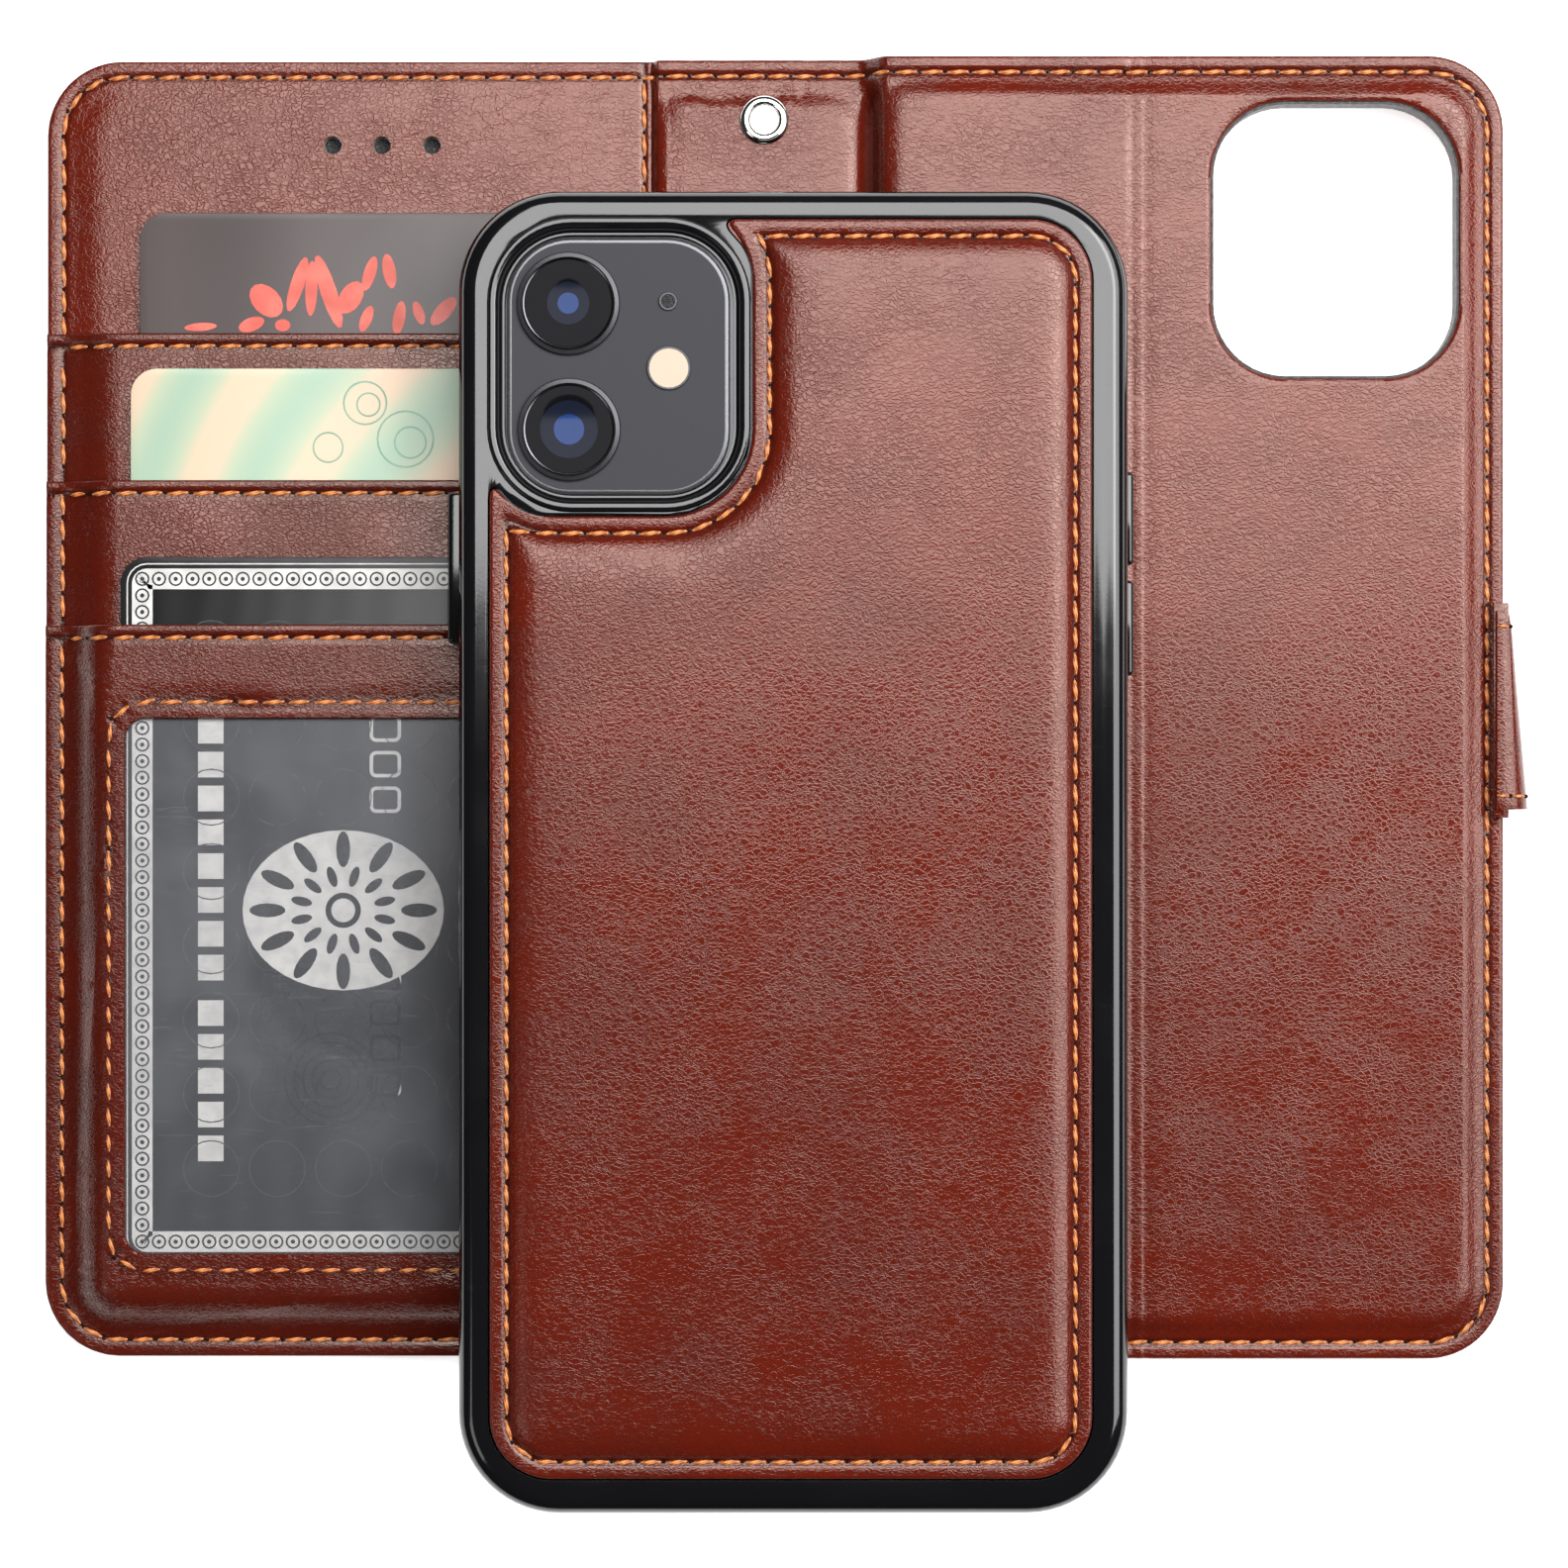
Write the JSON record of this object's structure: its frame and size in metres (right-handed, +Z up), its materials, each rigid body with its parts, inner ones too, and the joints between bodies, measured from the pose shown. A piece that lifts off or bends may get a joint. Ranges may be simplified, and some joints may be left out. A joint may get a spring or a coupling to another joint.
{
  "type": "phone wallet case",
  "caption": "Open folding leather phone wallet with card pockets, ID window, clasp strap and a magnetic detachable phone case lying on it.",
  "frame": {"origin": "on the table under the middle of the whole open object", "axes": "+X across the open cover towards the clasp edge, +Y towards the camera end, +Z up from the table"},
  "size_m": [0.1802, 0.1748, 0.0191],
  "materials": {
    "outer_leather": "glossy coated brown leather, fine grain",
    "inner_leather": "glossy coated reddish brown leather, wrinkled grain with lighter creases",
    "cover_board": "matt fibre board",
    "magnet": "nickel plated magnet",
    "steel": "thin spring steel sheet",
    "nickel": "polished nickel",
    "clear_film": "soft clear film",
    "black_frame": "glossy black soft plastic",
    "black_shell": "satin black hard plastic",
    "foam": "dark soft foam",
    "handset_metal": "dark satin handset body",
    "lens_plate": "frosted dark grey glass",
    "lens_glass": "coated black lens glass in a polished ring",
    "flash_lens": "pale ribbed flash lens",
    "dark_mesh": "dark acoustic mesh",
    "grey_card": "printed plastic card, dark grey with coral leaves",
    "mint_card": "printed plastic card, mint with pale swirls",
    "black_card": "printed plastic card, black with a white border ornament",
    "thread": "waxed orange tan thread"
  },
  "bodies": {
    "back_inner": {"back_inner_skin": "outer_leather", "back_inner_board": "cover_board", "back_inner_lining": "inner_leather"},
    "back_outer": {"back_outer_skin": "outer_leather", "back_outer_board": "cover_board", "back_outer_lining": "inner_leather", "dock_magnet_1": "magnet", "dock_magnet_2": "magnet", "dock_magnet_3": "magnet", "dock_magnet_4": "magnet", "clasp_root": "outer_leather"},
    "spine": {"spine_skin": "outer_leather", "spine_board": "cover_board", "spine_lining": "inner_leather", "eyelet_barrel": "nickel", "eyelet_washer": "nickel"},
    "front_cover": {"front_skin": "outer_leather", "front_board": "cover_board", "front_liner": "inner_leather", "keeper_plate": "steel", "card_pocket_1": "inner_leather", "card_pocket_2": "inner_leather", "id_pocket": "inner_leather", "id_window": "clear_film"},
    "clasp_strap": {"strap_leather": "outer_leather"},
    "clasp_tip": {"tip_leather": "outer_leather", "tip_magnet": "magnet"},
    "phone_case": {"bumper_frame": "black_frame", "back_shell": "black_shell", "steel_plate": "steel", "foam_pad": "foam", "case_leather": "inner_leather", "camera_ring": "black_frame"},
    "handset": {"phone_body": "handset_metal", "camera_plate": "lens_plate", "lens_upper": "lens_glass", "lens_lower": "lens_glass", "flash_window": "flash_lens", "microphone": "dark_mesh"},
    "volume_up_key": {"volume_up": "black_frame"},
    "volume_down_key": {"volume_down": "black_frame"},
    "power_key": {"power_button": "black_frame"},
    "card_one": {"card_1": "grey_card"},
    "card_two": {"card_2": "mint_card"},
    "card_three": {"card_3": "black_card"}
  },
  "joints": [
    {"name": "case_lift_off", "type": "slide", "parent": "back_inner", "child": "phone_case", "axis": [0, -0.6, 0.8], "range_m": [0, 0.32]},
    {"name": "spine_fold", "type": "hinge", "parent": "back_inner", "child": "spine", "pos_m": [0.0099, 0, 0.0045], "axis": [0, 1, 0], "range_deg": [0, 90]},
    {"name": "front_fold", "type": "hinge", "parent": "spine", "child": "front_cover", "pos_m": [-0.0146, 0, 0.0026], "axis": [0, 1, 0], "range_deg": [0, 90]},
    {"name": "handset_slide", "type": "slide", "parent": "phone_case", "child": "handset", "axis": [0, 0, -1], "range_m": [0, 0.0256]},
    {"name": "stand_fold", "type": "hinge", "parent": "back_inner", "child": "back_outer", "pos_m": [0.0429, 0, 0.0032], "axis": [0, -1, 0], "range_deg": [-60, 0]},
    {"name": "clasp_swing", "type": "hinge", "parent": "back_outer", "child": "clasp_strap", "pos_m": [0.0904, 0.008, -0.0003], "axis": [0, -1, 0], "range_deg": [0, 270]},
    {"name": "clasp_tip_fold", "type": "hinge", "parent": "clasp_strap", "child": "clasp_tip", "pos_m": [0.0584, 0.008, -0.0003], "axis": [0, -1, 0], "range_deg": [0, 90]},
    {"name": "volume_up_press", "type": "slide", "parent": "phone_case", "child": "volume_up_key", "axis": [-1, 0, 0], "range_m": [0, 0.0004], "stiffness_N_per_m": 2000},
    {"name": "volume_down_press", "type": "slide", "parent": "phone_case", "child": "volume_down_key", "axis": [-1, 0, 0], "range_m": [0, 0.0004], "stiffness_N_per_m": 2000},
    {"name": "power_press", "type": "slide", "parent": "phone_case", "child": "power_key", "axis": [1, 0, 0], "range_m": [0, 0.0004], "stiffness_N_per_m": 2000},
    {"name": "card_1_slide", "type": "slide", "parent": "front_cover", "child": "card_one", "axis": [0, 1, 0], "range_m": [0, 0.045]},
    {"name": "card_2_slide", "type": "slide", "parent": "front_cover", "child": "card_two", "axis": [0, 1, 0], "range_m": [0, 0.045]},
    {"name": "card_3_slide", "type": "slide", "parent": "front_cover", "child": "card_three", "axis": [0, 1, 0], "range_m": [0, 0.045]}
  ],
  "couplings": [
    {"joint": "spine_fold", "follows": "case_lift_off", "rad_per_m": 4.9087},
    {"joint": "front_fold", "follows": "case_lift_off", "rad_per_m": 4.9087},
    {"joint": "handset_slide", "follows": "case_lift_off", "ratio": 0.08}
  ]
}
